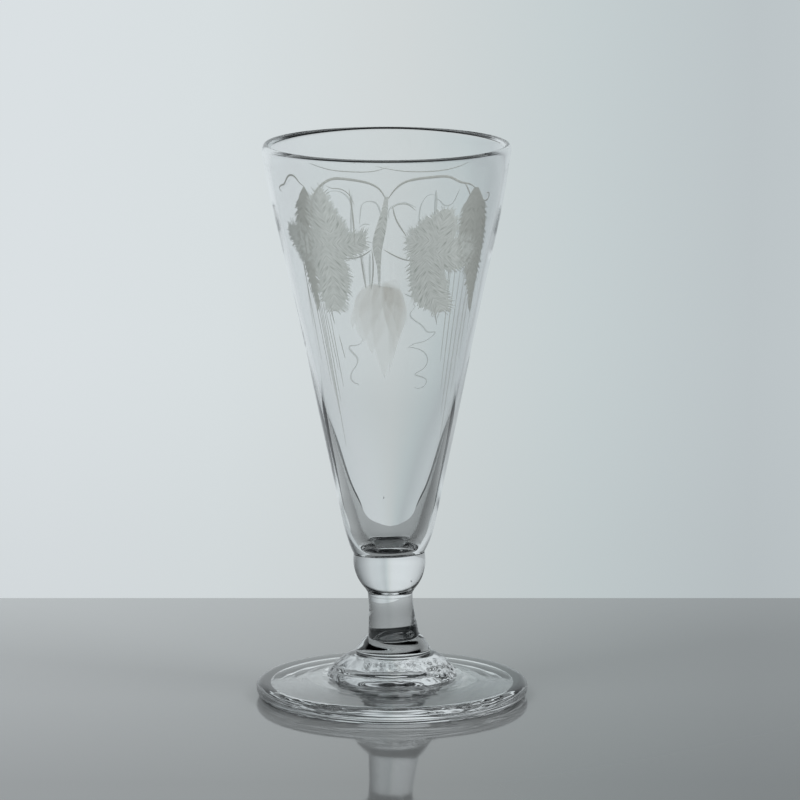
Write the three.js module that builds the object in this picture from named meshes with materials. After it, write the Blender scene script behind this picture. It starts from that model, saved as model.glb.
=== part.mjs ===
// A short ale glass: a conical bowl on a ball knop, a short waisted stem, a collar and a plain foot.
// Millimetres, +Z up. The origin is on the table, under the middle of the foot.
// The glass was made hot, one gather after another, so each gather is a solid of its own, and each
// meets the next face to face on a flat, level joint.

import * as THREE from "three";

// Foot
const footRadius = 32.6;
const footEdgeHeight = 4.05;
const footEdgeWidth = 2.6;
const footRise = 0.95;
const footSeatMargin = 0.7;
const standingRingInset = 1.4;
const standingRingWidth = 2.2;
const kickHeight = 1.8;
const kickMargin = 1.4;

// Collar, the lumpy gather that holds the stem to the foot
const collarHeight = 9.2;
const collarSideRadius = 15.6;
const collarFrontRadius = 13.6;
const collarSkirtHeight = 0.9;
const collarLumpDepth = 0.45;
const collarLumps = 7;

// Stem
const stemLength = 10.4;
const stemFootRadius = 6.08;
const stemMiddleRadius = 5.56;
const stemWaistRadius = 5.32;
const stemTopRadius = 5.36;

// Knop, a ball on a short neck, cut flat where the bowl joins it
const knopRadius = 8.67;
const knopNeckLength = 0.79;
const knopCapHeight = 2.8;

// Bowl, with radii outside and heights above its joint with the knop
const bowlHeight = 99.0;
const bowlTurnHeight = 1.9;
const bowlTurnRadius = 9.39;
const bowlShoulderHeight = 5.8;
const bowlShoulderRadius = 10.64;
const bowlLowHeight = 13.0;
const bowlLowRadius = 12.22;
const bowlMiddleHeight = 37.0;
const bowlMiddleRadius = 17.24;
const bowlUpperHeight = 63.0;
const bowlUpperRadius = 22.59;
const bowlHighHeight = 87.0;
const bowlHighRadius = 27.87;
const lipRadius = 29.6;
const lipThickness = 1.4;

// Cavity of the bowl, whose wall thickens towards the heel, where the flank turns into the floor
const bowlWall = 1.0;
const heelWall = 4.2;
const wallTaperLength = 20.0;
const heelHeight = 4.5;
const cavityFloorDepth = 3.1;
const floorPower = 3;

// Scar, what the working rod left under the foot when it was snapped off
const scarRadius = 6.2;
const scarDepth = 0.95;
const scarRoughness = 0.3;
const scarChips = 5;
const scarSwirl = 4;

// Lean, how far the middle of the glass has drifted to +X at each joint
const driftAtStemFoot = 0.42;
const driftAtStemTop = -0.42;
const driftAtKnopTop = -0.7;
const driftAtBowlMiddle = -0.72;
const driftAtLip = -1.28;

// Heights of the joints, each on top of the gather below
const knopCentreHeight = knopNeckLength + Math.sqrt(knopRadius ** 2 - stemTopRadius ** 2);
const waistRadius = Math.sqrt(knopRadius ** 2 - knopCapHeight ** 2);
const footSeatHeight = footEdgeHeight + footRise;
const collarTop = footSeatHeight + collarHeight;
const stemTop = collarTop + stemLength;
const knopTop = stemTop + knopCentreHeight + knopCapHeight;
const bowlTop = knopTop + bowlHeight;
const heel = knopTop + heelHeight;
const cavityFloor = heel - cavityFloorDepth;

// Outlines between two corners, as shares of the way from the first corner to the second
const footEdgeShares = [[0.46, 0], [0.9, 0.28], [1, 0.62], [0.7, 0.9], [0, 1]];
const collarFlankShares = [[0, 0], [0.25, 0.18], [0.5, 0.41], [0.79, 0.7], [1, 1]];
const scarEdgeShares = [[0.4, 0], [0.75, 0.25], [1, 0.7], [0.97, 1]];
const stemMiddleShare = 0.5;
const stemWaistShare = 0.88;
const throatShares = [0.93, 0.8, 0.65, 0.5, 0.35, 0.24, 0.16, 0.1, 0.045, 0];
const floorShares = [0.86, 0.72, 0.56, 0.38, 0.2];

// Fineness of the meshes
const sides = 60;
const scarSides = 30;

const { lerp, clamp, mapLinear } = THREE.MathUtils;
const point = (radius, height) => new THREE.Vector2(radius, height);

// The points that a list of shares gives between two corners.
function between(start, end, shares) {
  return shares.map(([across, up]) => point(lerp(start.x, end.x, across), lerp(start.y, end.y, up)));
}

// A curve through a few outline points, from the first to the last.
function throughPoints(points, steps) {
  return new THREE.SplineCurve(points).getPoints(steps);
}

// A round stretch of outline about a centre, from one angle to another.
function arc(centre, radius, fromAngle, toAngle, steps) {
  return Array.from({ length: steps + 1 }, (_, step) => {
    const angle = lerp(fromAngle, toAngle, step / steps);
    return point(centre.x + radius * Math.cos(angle), centre.y + radius * Math.sin(angle));
  });
}

// The value at a place along a list of [place, value] pairs, on straight lines between them.
function along(pairs, place) {
  const next = pairs.findIndex(([stop]) => stop >= place);
  if (next < 1) {
    return next === 0 ? pairs[0][1] : pairs[pairs.length - 1][1];
  }
  const [lowPlace, lowValue] = pairs[next - 1];
  const [highPlace, highValue] = pairs[next];
  return mapLinear(place, lowPlace, highPlace, lowValue, highValue);
}

const drift = [
  [footSeatHeight, 0],
  [collarTop, driftAtStemFoot],
  [stemTop, driftAtStemTop],
  [knopTop, driftAtKnopTop],
  [knopTop + bowlMiddleHeight, driftAtBowlMiddle],
  [bowlTop, driftAtLip],
];

// An outline turned about the axis. A shaper may move each point, and then the lean is added.
function turned(outline, sideCount, shaper = (place) => place) {
  const geometry = new THREE.LatheGeometry(outline, sideCount);
  geometry.rotateX(Math.PI / 2);
  const position = geometry.getAttribute("position");
  for (let index = 0; index < position.count; index += 1) {
    const place = shaper(new THREE.Vector3().fromBufferAttribute(position, index));
    position.setXYZ(index, place.x + along(drift, place.z), place.y, place.z);
  }
  geometry.computeVertexNormals();
  return geometry;
}

// Foot: a thick disc with a round edge, hollowed underneath so that it stands on a worn ring.
function footGeometry() {
  const seatRadius = Math.max(collarSideRadius, collarFrontRadius) + collarLumpDepth + footSeatMargin;
  const ringOuter = footRadius - standingRingInset;
  const edgeStart = point(footRadius - footEdgeWidth, 0);
  const edge = throughPoints(between(edgeStart, point(footRadius, footEdgeHeight), footEdgeShares), 10);
  return turned(
    [
      point(0, kickHeight),
      point(scarRadius + kickMargin, kickHeight),
      point(ringOuter - standingRingWidth, 0),
      point(ringOuter, 0),
      ...edge.slice(1),
      point(seatRadius, footSeatHeight),
      point(0, footSeatHeight),
    ],
    sides,
  );
}

// Collar: wider from side to side than from front to back, with lumps that die away at the stem.
function collarGeometry() {
  const skirtTop = point(collarSideRadius, footSeatHeight + collarSkirtHeight);
  const flank = throughPoints(between(skirtTop, point(stemFootRadius, collarTop), collarFlankShares), 8);
  const base = [point(0, footSeatHeight), point(collarSideRadius, footSeatHeight)];
  const narrowing = collarFrontRadius / collarSideRadius;
  return turned([...base, ...flank, point(0, collarTop)], sides, (place) => {
    const radius = Math.hypot(place.x, place.y);
    const spread = clamp((radius - stemFootRadius) / (collarSideRadius - stemFootRadius), 0, 1);
    const angle = Math.atan2(place.y, place.x);
    const lump = Math.sin(angle * collarLumps) * Math.cos(angle * 2 + 1) * collarLumpDepth;
    const grown = radius > 0 ? 1 + (lump * spread) / radius : 1;
    return place.set(place.x * grown, place.y * grown * lerp(1, narrowing, spread), place.z);
  });
}

// Stem: a short rod, drawn in below the knop and spreading to its foot.
function stemGeometry() {
  const flank = throughPoints(
    [
      point(stemFootRadius, collarTop),
      point(stemMiddleRadius, lerp(collarTop, stemTop, stemMiddleShare)),
      point(stemWaistRadius, lerp(collarTop, stemTop, stemWaistShare)),
      point(stemTopRadius, stemTop),
    ],
    9,
  );
  return turned([point(0, collarTop), ...flank, point(0, stemTop)], sides);
}

// Knop: the ball's round flank from its neck up to the flat cut under the bowl.
function knopGeometry() {
  const neckAngle = -Math.acos(stemTopRadius / knopRadius);
  const capAngle = Math.asin(knopCapHeight / knopRadius);
  const ball = arc(point(0, stemTop + knopCentreHeight), knopRadius, neckAngle, capAngle, 14);
  return turned([point(0, stemTop), point(stemTopRadius, stemTop), ...ball, point(0, knopTop)], sides);
}

const bowlFlank = throughPoints(
  [
    point(waistRadius, knopTop),
    point(bowlTurnRadius, knopTop + bowlTurnHeight),
    point(bowlShoulderRadius, knopTop + bowlShoulderHeight),
    point(bowlLowRadius, knopTop + bowlLowHeight),
    point(bowlMiddleRadius, knopTop + bowlMiddleHeight),
    point(bowlUpperRadius, knopTop + bowlUpperHeight),
    point(bowlHighRadius, knopTop + bowlHighHeight),
    point(lipRadius, bowlTop - lipThickness / 2),
  ],
  21,
);

// The radius of the cavity: the outside, less a wall that thickens towards the heel.
function cavityRadius(height) {
  const outside = along(bowlFlank.map((place) => [place.y, place.x]), height);
  const thickening = Math.exp(-(height - heel) / wallTaperLength);
  return outside - lerp(bowlWall, heelWall, thickening);
}

// Bowl: a solid base, a cone that flares a little near the top, and a round melted lip.
function bowlGeometry() {
  const lipCentre = point(lipRadius - lipThickness / 2, bowlTop - lipThickness / 2);
  const lip = arc(lipCentre, lipThickness / 2, 0, Math.PI, 6);
  const throat = throatShares.map((share) => {
    const height = lerp(heel, bowlTop, share);
    return point(cavityRadius(height), height);
  });
  const floor = floorShares.map((share) =>
    point(cavityRadius(heel) * share, lerp(cavityFloor, heel, share ** floorPower)),
  );
  const outside = [point(0, knopTop), ...bowlFlank.slice(0, -1), ...lip];
  const inside = [...throat, ...floor, point(0, cavityFloor)];
  return turned([...outside, ...inside], sides);
}

// Scar: a shallow broken disc, chipped round its edge and rough where the rod came away.
function scarGeometry() {
  const low = kickHeight - scarDepth;
  const edge = between(point(0, low), point(scarRadius, kickHeight), scarEdgeShares);
  return turned([point(0, low), ...edge, point(0, kickHeight)], scarSides, (place) => {
    const reach = Math.hypot(place.x, place.y) / scarRadius;
    const angle = Math.atan2(place.y, place.x);
    const chip = Math.sin(angle * scarChips + reach * scarSwirl) * scarRoughness;
    const exposed = (kickHeight - place.z) / scarDepth;
    const grown = 1 + (chip * reach) / scarRadius;
    return place.set(place.x * grown, place.y * grown, place.z + chip * exposed * reach);
  });
}

const gathers = {
  foot: [footGeometry(), 0xc3cccd],
  foot_collar: [collarGeometry(), 0xc9d0d0],
  stem: [stemGeometry(), 0xbcc6c8],
  knop: [knopGeometry(), 0xcbd5d8],
  bowl: [bowlGeometry(), 0xcfd9db],
  pontil_scar: [scarGeometry(), 0xb4bcbc],
};

// Clear glass, smooth from the fire, seen through.
function clearGlass(color) {
  const finish = { roughness: 0.05, metalness: 0, transparent: true, opacity: 0.4 };
  return new THREE.MeshStandardMaterial({ color, ...finish });
}

const aleGlass = new THREE.Group();
for (const [name, [geometry, color]] of Object.entries(gathers)) {
  const gather = new THREE.Mesh(geometry, clearGlass(color));
  gather.name = name;
  aleGlass.add(gather);
}

export default aleGlass;
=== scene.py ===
import math

import bpy
import numpy as np
from bpy.props import FloatProperty, FloatVectorProperty, PointerProperty
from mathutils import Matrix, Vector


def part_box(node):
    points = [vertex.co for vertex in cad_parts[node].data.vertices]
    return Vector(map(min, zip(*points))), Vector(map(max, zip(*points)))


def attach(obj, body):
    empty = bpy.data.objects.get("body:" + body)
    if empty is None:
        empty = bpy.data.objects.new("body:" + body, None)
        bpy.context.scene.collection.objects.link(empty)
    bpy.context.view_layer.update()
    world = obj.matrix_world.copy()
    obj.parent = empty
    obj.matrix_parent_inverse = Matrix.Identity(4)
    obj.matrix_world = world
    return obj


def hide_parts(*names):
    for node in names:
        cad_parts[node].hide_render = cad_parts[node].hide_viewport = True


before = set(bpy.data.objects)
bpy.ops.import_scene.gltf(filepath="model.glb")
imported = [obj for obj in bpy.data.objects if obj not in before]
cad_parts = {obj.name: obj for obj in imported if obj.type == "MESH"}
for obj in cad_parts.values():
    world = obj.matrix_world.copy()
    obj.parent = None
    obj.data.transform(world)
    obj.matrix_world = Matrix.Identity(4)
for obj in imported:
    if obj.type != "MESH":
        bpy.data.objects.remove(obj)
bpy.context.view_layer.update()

bl_info = {
    "name": "Ale glass",
    "version": (1, 0, 0),
    "blender": (4, 5, 0),
    "location": "3D View > Sidebar > Ale glass",
    "description": "A short engraved ale glass, gather by gather, and a plain table to stand it on",
    "category": "Add Mesh",
}

# Everything is in metres, +Z up, with the origin on the table under the middle of the foot.
MM = 0.001

# The lowest and highest corners of the solids.
_, FOOT_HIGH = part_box("foot")
COLLAR_LOW, COLLAR_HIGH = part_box("foot_collar")
STEM_LOW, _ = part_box("stem")
KNOP_LOW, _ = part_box("knop")
BOWL_LOW, BOWL_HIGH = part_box("bowl")

# Heights of the joints between the gathers, from the solids.
SEAT = COLLAR_LOW.z
COLLAR_TOP = STEM_LOW.z
STEM_TOP = KNOP_LOW.z
KNOP_TOP = BOWL_LOW.z
LIP_TOP = BOWL_HIGH.z

# How far the middle of the glass lies to +X at the joints, from the foot's up to the bowl's.
JOINT_DRIFT = (0, 0.42 * MM, -0.42 * MM, -0.7 * MM)

# Two joints aren't level. This is how steeply each rises to +X and to the back, and how far the collar's
# top rises as a whole.
COLLAR_TIP = (0.035, 0.12)
BOWL_TIP = (0.03, -0.05)
COLLAR_TIP_RISE = 0.7 * MM

# Fineness of the turned pieces, and of the flat joint faces inside the glass.
SIDES = 240
JOINT_RINGS = 12

# Where two faces meet at more than this, the edge between them stays a crease.
SHARP_EDGE = math.radians(50)


def linear(colour):
    """A written sRGB hex colour as the linear red, green and blue that shaders take."""
    parts = [int(colour[place:place + 2], 16) / 255 for place in (1, 3, 5)]
    return tuple(part / 12.92 if part <= 0.04045 else ((part + 0.055) / 1.055) ** 2.4 for part in parts)


def length(name, description, millimetres):
    """A length that a user would change."""
    return FloatProperty(
        name=name, description=description, default=millimetres * MM, min=0, unit="LENGTH", precision=5)


def colour(name, description, written):
    """A colour that a user would change."""
    return FloatVectorProperty(
        name=name, description=description, default=linear(written), min=0, max=1, size=3, subtype="COLOR")


class AleGlassSizes(bpy.types.PropertyGroup):
    """Sizes and colours of the glass that a user would change"""

    foot_edge_height: length("Foot edge height", "Where the round edge meets the top of the foot", 4.05)
    foot_edge_width: length("Foot edge width", "Width of the round edge of the foot", 2.6)
    ring_inset: length("Ring inset", "From the edge of the foot to the ring that it stands on", 1.4)
    ring_width: length("Ring width", "Width of the ring that the foot stands on", 2.2)
    kick_height: length("Kick height", "Height of the hollow under the foot", 1.8)
    edge_streaks: length("Edge streaks", "Depth of the drawn-out streaks round the edge of the foot", 0.02)
    tool_rings: length("Tool rings", "Height of the rings that the foot board left on the foot", 0.009)
    collar_lumps: length("Collar lumps", "Depth of the lumps on the skirt of the collar", 0.3)
    stem_foot_radius: length("Stem foot radius", "Radius of the stem where it meets the collar", 6.08)
    stem_middle_radius: length("Stem middle radius", "Radius of the stem half way up", 5.56)
    neck_radius: length("Neck radius", "Radius of the neck between stem and knop", 5.36)
    knop_radius: length("Knop radius", "Radius of the ball knop", 8.67)
    knop_half_height: length("Knop half height", "From the knop's middle to its top, were it whole", 9.6)
    knop_cap: length("Knop cap", "From the middle of the knop up to the bowl", 1.7)
    seam_groove: length("Seam groove", "Depth of the groove between the knop and the bowl", 0.3)
    lip_thickness: length("Lip thickness", "Thickness of the round melted lip", 1.8)
    wall_waves: length("Wall waves", "Height of the slow waves inside the bowl", 0.008)
    cut_relief: length("Cut relief", "Thickness of the ground skin of the cuts", 0.02)
    glass_colour: colour("Glass", "Tint of the glass", "#fdfefe")
    ground_colour: colour("Ground glass", "Tint of the near leaves and stalk", "#f4fbf9")
    ground_shade: colour("Ground shade", "Tint of the darker strokes in the near leaves", "#b2bcb6")
    far_colour: colour("Far ground glass", "Tint of the far leaf, lit through", "#fdfcfb")
    far_shade: colour("Far ground shade", "Tint of the darker strokes in the far leaf", "#f4f3f1")
    far_line: colour("Far cut lines", "Tint of the darker strokes in the far lines", "#b4bab6")
    line_colour: colour("Cut lines", "Tint of the ears and near lines", "#dce2de")
    line_shade: colour("Cut line shade", "Tint of the darker strokes in the near lines", "#a7aea9")
    table_colour: colour("Table", "Colour of the table top", "#8b8f90")


def add_node(tree, kind, inputs=None, **settings):
    """Adds a node with its settings. Each input takes a value, or a link from another node's output."""
    node = tree.nodes.new(kind)
    for name, value in settings.items():
        setattr(node, name, value)
    for name, source in (inputs or {}).items():
        if isinstance(source, bpy.types.NodeSocket):
            tree.links.new(source, node.inputs[name])
        else:
            node.inputs[name].default_value = source
    return node


def smooth_line(points, count):
    """Points evenly spread on the natural cubic spline through outline points, by chord length."""
    points = np.asarray(points, float)
    reach = np.r_[0, np.cumsum(np.linalg.norm(np.diff(points, axis=0), axis=1))]
    gap = np.diff(reach)
    inner = np.arange(1, len(points) - 1)
    system = np.eye(len(points))
    system[inner, inner - 1] = gap[:-1]
    system[inner, inner] = 2 * (gap[:-1] + gap[1:])
    system[inner, inner + 1] = gap[1:]
    turn = np.zeros_like(points)
    turn[inner] = 6 * np.diff(np.diff(points, axis=0) / gap[:, None], axis=0)
    bend = np.linalg.solve(system, turn)
    place = np.linspace(0, reach[-1], count)
    part = np.clip(np.searchsorted(reach, place, side="right") - 1, 0, len(gap) - 1)
    size = gap[part][:, None]
    left = (place - reach[part])[:, None]
    right = size - left
    curve = (bend[part] * right ** 3 + bend[part + 1] * left ** 3) / (6 * size)
    start = (points[part] / size - bend[part] * size / 6) * right
    end = (points[part + 1] / size - bend[part + 1] * size / 6) * left
    return curve + start + end


def arc(centre, radius, first, last, count):
    """Points of a round stretch about a centre, from one angle to another."""
    angle = np.linspace(first, last, count)
    return np.c_[centre[0] + radius * np.cos(angle), centre[1] + radius * np.sin(angle)]


def straight(start, end, count):
    """Points evenly spread between two points."""
    return np.linspace(start, end, count)


def above(base, *places):
    """Outline points, from their radius and their height above a base, in millimetres."""
    return [(radius * MM, base + height * MM) for radius, height in places]


def soft_noise(place, wavelength, seed, waves=28):
    """Smooth random height about one unit high: the sum of sine waves in random directions."""
    random = np.random.default_rng(seed)
    direction = random.normal(size=(waves, 3))
    direction /= np.linalg.norm(direction, axis=1)[:, None]
    pitch = 2 * math.pi / (wavelength * random.uniform(0.7, 1.4, waves))
    phase = random.uniform(0, 2 * math.pi, waves)
    return np.sin(place @ (direction * pitch[:, None]).T + phase).sum(-1) * math.sqrt(2 / waves)


def ease(value, low, high):
    """0 below low and 1 above high, with a smooth step between."""
    share = np.clip((value - low) / (high - low), 0, 1)
    return share * share * (3 - 2 * share)


def hump(value, start, full, last, end):
    """0 up to the start and from the end on, and 1 from full to last, with a smooth step on each side."""
    return ease(value, start, full) * (1 - ease(value, last, end))


def swell(value, middle, width):
    """1 at the middle and near 0 beyond the width on each side: a bell curve."""
    return np.exp(-((value - middle) / width) ** 2)


def lean(height):
    """How far the middle has drifted to +X: straight between the joints, and a slow curve up the bowl."""
    drift = np.interp(height, (SEAT, COLLAR_TOP, STEM_TOP, KNOP_TOP), JOINT_DRIFT)
    rise = np.clip((height - KNOP_TOP) / (LIP_TOP - KNOP_TOP), 0, 1)
    lip_middle = (BOWL_LOW.x + BOWL_HIGH.x) / 2
    return drift + (lip_middle - JOINT_DRIFT[-1]) * rise ** 2


def joint_tilt(place):
    """How far the tipped joints lift the points at them. The tip dies away above and below each joint.

    The joint of stem and collar rises to +X and to the back, and as a whole. The joint of knop and bowl
    rises to +X and to the front.
    """
    height = place[:, 2]
    collar = hump(height, COLLAR_TOP - 2.4 * MM, COLLAR_TOP, COLLAR_TOP, STEM_TOP - 2 * MM)
    bowl = hump(height, STEM_TOP + 4 * MM, KNOP_TOP, KNOP_TOP, KNOP_TOP + 5 * MM)
    return (place[:, :2] @ COLLAR_TIP + COLLAR_TIP_RISE) * collar + place[:, :2] @ BOWL_TIP * bowl


def push_out(place, reach, amount):
    """Moves points that lie at a reach from the axis straight out by an amount."""
    place[:, :2] *= (1 + amount / np.maximum(reach, MM))[:, None]


def new_piece(name, points, faces, node, materials, face_material=None, uv=None):
    """A mesh piece with smooth faces and sharp creases. Where node is given, it stands for that solid."""
    mesh = bpy.data.meshes.new(name)
    mesh.from_pydata(points, [], faces)
    mesh.polygons.foreach_set("use_smooth", np.ones(len(mesh.polygons), bool))
    for material in materials:
        mesh.materials.append(material)
    if face_material is not None:
        mesh.polygons.foreach_set("material_index", np.asarray(face_material, np.int32))
    if uv is not None:
        corner = np.empty(len(mesh.loops), np.int32)
        mesh.loops.foreach_get("vertex_index", corner)
        layer = mesh.uv_layers.new(name="cut")
        layer.data.foreach_set("uv", np.asarray(uv, np.float32)[corner].ravel())
    mesh.set_sharp_from_angle(angle=SHARP_EDGE)
    mesh.update()
    piece = bpy.data.objects.new(name, mesh)
    bpy.context.scene.collection.objects.link(piece)
    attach(piece, "root")
    if node:
        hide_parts(node)


def tube_faces(rows, sides):
    """Faces of a closed tube: rows of rings, with a fan to one middle point at each end.

    The ring points come first, row by row, then the middle of the first ring and that of the last.
    """
    row, side = np.meshgrid(np.arange(rows - 1), np.arange(sides), indexing="ij")
    after = (side + 1) % sides
    low, high = row * sides, (row + 1) * sides
    quads = np.stack([low + side, low + after, high + after, high + side], -1).reshape(-1, 4)
    first, last = rows * sides, rows * sides + 1
    step = np.arange(sides)
    start_fan = np.stack([np.full(sides, first), (step + 1) % sides, step], -1)
    top = (rows - 1) * sides
    end_fan = np.stack([np.full(sides, last), top + step, top + (step + 1) % sides], -1)
    return [*quads.tolist(), *start_fan.tolist(), *end_fan.tolist()]


def rings(outline, sides):
    """Points of an outline turned about the axis: ring by ring, and then its two ends.

    A point is radius times the cosine and sine of the angle, at the outline's height. The outline starts
    and ends on the axis, where each end is one point, so the surface is closed.
    """
    angle = np.arange(sides) * 2 * math.pi / sides
    radius = outline[1:-1, 0][:, None]
    height = np.broadcast_to(outline[1:-1, 1][:, None], (len(radius), sides))
    grid = np.stack([radius * np.cos(angle), radius * np.sin(angle), height], -1)
    ends = np.array([[0, 0, outline[0, 1]], [0, 0, outline[-1, 1]]])
    return np.concatenate([grid.reshape(-1, 3), ends])


def turned(outline, sides, shaper):
    """Points and faces of a gather: its outline's rings, with the joints' tilt, a shaper and the lean."""
    points = rings(outline, sides)
    points[:, 2] += joint_tilt(points)
    if shaper:
        shaper(points)
    points[:, 0] += lean(points[:, 2])
    return points, tube_faces(len(outline) - 2, sides)


def joint_faces(rows, sides, start, end):
    """1 for the faces within so many rings of the start or the end of an outline, and 0 elsewhere."""
    band = np.concatenate([np.repeat(np.arange(1, rows), sides), np.zeros(sides), np.full(sides, rows)])
    return ((band < start - 1) | (band >= rows - end + 2)).astype(int)


def seed_bubble(centre, size, sides=16):
    """A small round or drawn-out bubble, whose faces look into it: an ellipsoid about its centre."""
    outline = arc((0, 0), 1, -math.pi / 2, math.pi / 2, sides // 2 + 1)
    faces = tube_faces(len(outline) - 2, sides)
    return rings(outline, sides) * size + centre, [face[::-1] for face in faces]


def with_bubbles(points, faces, face_material, bubbles):
    """The piece with bubbles in its glass. A bubble's centre and size are in millimetres."""
    face_material = list(face_material)
    for centre, size in bubbles:
        more_points, more_faces = seed_bubble(np.array(centre) * MM, np.array(size) * MM)
        faces = faces + [[corner + len(points) for corner in face] for face in more_faces]
        points = np.concatenate([points, more_points])
        face_material += [0] * len(more_faces)
    return points, faces, face_material


def shared(maker, context):
    """A material made once by its own function, named for it, and used by every piece that has it."""
    material = bpy.data.materials.get(maker.__name__)
    if material is None:
        material = bpy.data.materials.new(maker.__name__)
        material.use_nodes = True
        maker(material.node_tree, context.scene.ale_glass_sizes)
    return material


def lead_glass(tree, sizes, roughness):
    """Clear lead glass of one finish."""
    shader = tree.nodes["Principled BSDF"]
    shader.inputs["Base Color"].default_value = (*sizes.glass_colour, 1)
    shader.inputs["Roughness"].default_value = roughness
    shader.inputs["IOR"].default_value = 1.54
    shader.inputs["Transmission Weight"].default_value = 1.0


def blown_lead_glass(tree, sizes):
    """Lead glass, blown and left smooth from the fire: clear and nearly white, with a bright skin."""
    lead_glass(tree, sizes, 0.0)


def tooled_lead_glass(tree, sizes):
    """Lead glass pressed and pulled with iron tools: as clear, its skin a little less bright."""
    lead_glass(tree, sizes, 0.01)


def broken_lead_glass(tree, sizes):
    """Lead glass snapped off and left unpolished: a grey, glittering break."""
    lead_glass(tree, sizes, 0.12)


def fused_joint(tree, _):
    """Where two gathers melted together there is no surface to see, so light passes unbent."""
    tree.nodes.clear()
    film = add_node(tree, "ShaderNodeBsdfTransparent")
    add_node(tree, "ShaderNodeOutputMaterial", {"Surface": film.outputs["BSDF"]})


# The strokes of the wheel in a ground face: their width and length, how far they slant back from the rib,
# and the part of the noise between the light strokes and the dark ones.
STROKE_WIDTH = 0.13 * MM
STROKE_LENGTH = 1.8 * MM
STROKE_SLANT = 1.1
STROKE_LIGHT = 0.44
STROKE_DARK = 0.66

# How far to the side of the glass the painted shade on a ground face starts, where it ends, and what share
# of the colour is left there.
SIDE_SHADE_START = 15 * MM
SIDE_SHADE_END = 24 * MM
SIDE_SHADE_SHARE = 0.62


def ground_skin(tree, light, shade, through, bend, roughness):
    """Glass ground by a small copper wheel, in combed strokes from the rib of a leaf to its border.

    The strokes are noise drawn out along them, on the cut's own UV map, in metres, and about twice as
    coarse as the real ones, so that they show. Towards the sides of the bowl, where the skin is seen at a
    flat angle, painted shade darkens its colour.
    """
    shader = tree.nodes["Principled BSDF"]
    cut = add_node(tree, "ShaderNodeUVMap", uv_map="cut")
    parts = add_node(tree, "ShaderNodeSeparateXYZ", {"Vector": cut.outputs["UV"]})
    off_rib = add_node(tree, "ShaderNodeMath", {0: parts.outputs["Y"]}, operation="ABSOLUTE")
    along = add_node(tree, "ShaderNodeMath", {
        0: off_rib.outputs[0], 1: -STROKE_SLANT, 2: parts.outputs["X"]}, operation="MULTIPLY_ADD")
    width = add_node(tree, "ShaderNodeMath", {
        0: along.outputs[0], 1: 1 / STROKE_WIDTH}, operation="MULTIPLY")
    reach = add_node(tree, "ShaderNodeMath", {
        0: off_rib.outputs[0], 1: 1 / STROKE_LENGTH}, operation="MULTIPLY")
    place = add_node(tree, "ShaderNodeCombineXYZ", {"X": width.outputs[0], "Y": reach.outputs[0]})
    stroke = add_node(tree, "ShaderNodeTexNoise", {
        "Vector": place.outputs["Vector"], "Scale": 1, "Detail": 2})
    share = add_node(tree, "ShaderNodeMapRange", {
        "Value": stroke.outputs["Fac"], "From Min": STROKE_LIGHT, "From Max": STROKE_DARK})
    where = add_node(tree, "ShaderNodeTexCoord")
    across = add_node(tree, "ShaderNodeSeparateXYZ", {"Vector": where.outputs["Object"]})
    aside = add_node(tree, "ShaderNodeMath", {0: across.outputs["X"]}, operation="ABSOLUTE")
    # painted shade: the colour darkens towards the sides of the bowl
    flat = add_node(tree, "ShaderNodeMapRange", {
        "Value": aside.outputs[0], "From Min": SIDE_SHADE_START, "From Max": SIDE_SHADE_END,
        "To Min": 1, "To Max": SIDE_SHADE_SHARE})
    tint = add_node(tree, "ShaderNodeMix", {
        "Factor": share.outputs["Result"], 6: (*light, 1), 7: (*shade, 1)}, data_type="RGBA")
    dim = add_node(tree, "ShaderNodeVectorMath", {
        0: tint.outputs[2], "Scale": flat.outputs["Result"]}, operation="SCALE")
    tree.links.new(dim.outputs["Vector"], shader.inputs["Base Color"])
    shader.inputs["Roughness"].default_value = roughness
    shader.inputs["IOR"].default_value = bend
    shader.inputs["Transmission Weight"].default_value = through


def wheel_ground_glass(tree, sizes):
    """The near leaves and the stalk, ground with a copper wheel: matt and pale grey."""
    ground_skin(tree, sizes.ground_colour, sizes.ground_shade, 0.0, 1.3, 0.45)


def wheel_cut_lines(tree, sizes):
    """The near side's thin deep cuts, and the ears: a darker matt grey."""
    ground_skin(tree, sizes.line_colour, sizes.line_shade, 0.0, 1.3, 0.45)


def wheel_ground_glass_far(tree, sizes):
    """The far leaf, lit through from behind: soft and milky."""
    ground_skin(tree, sizes.far_colour, sizes.far_shade, 1.0, 1.12, 0.3)


def wheel_cut_lines_far(tree, sizes):
    """The far side's thin deep cuts: a soft darker grey."""
    ground_skin(tree, sizes.far_shade, sizes.far_line, 1.0, 1.2, 0.3)


def add_gather(name, node, flank, context, finish=blown_lead_glass, shaper=None, sides=SIDES,
               start=JOINT_RINGS, end=JOINT_RINGS, joint_test=None, bubbles=()):
    """A gather as a closed piece: its glass, the unseen joints inside it, and its bubbles.

    Flat faces of so many rings lead out to the start of the flank and back in from its end. They are the
    joints, unless a test tells the joints by the middles of the faces.
    """
    flank = np.concatenate(flank)
    first, last = flank[0], flank[-1]
    outline = np.concatenate([
        straight((0, first[1]), first, start)[:-1], flank, straight(last, (0, last[1]), end)[1:]])
    points, faces = turned(outline, sides, shaper)
    if joint_test:
        joint = joint_test(np.array([points[face].mean(0) for face in faces]))
    else:
        joint = joint_faces(len(outline) - 2, sides, start, end)
    points, faces, joint = with_bubbles(points, faces, joint, bubbles)
    materials = [shared(finish, context), shared(fused_joint, context)]
    new_piece(name, points, faces, node, materials, joint)


# The collar's skirt: half its width from side to side and from front to back, and how deep its apron is.
COLLAR_WIDE = (COLLAR_HIGH.x - COLLAR_LOW.x) / 2 - 0.2 * MM
COLLAR_DEEP = 14.5 * MM
APRON = 2.4 * MM
CREASE = (8.6 * MM, SEAT + 5.6 * MM)

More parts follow.
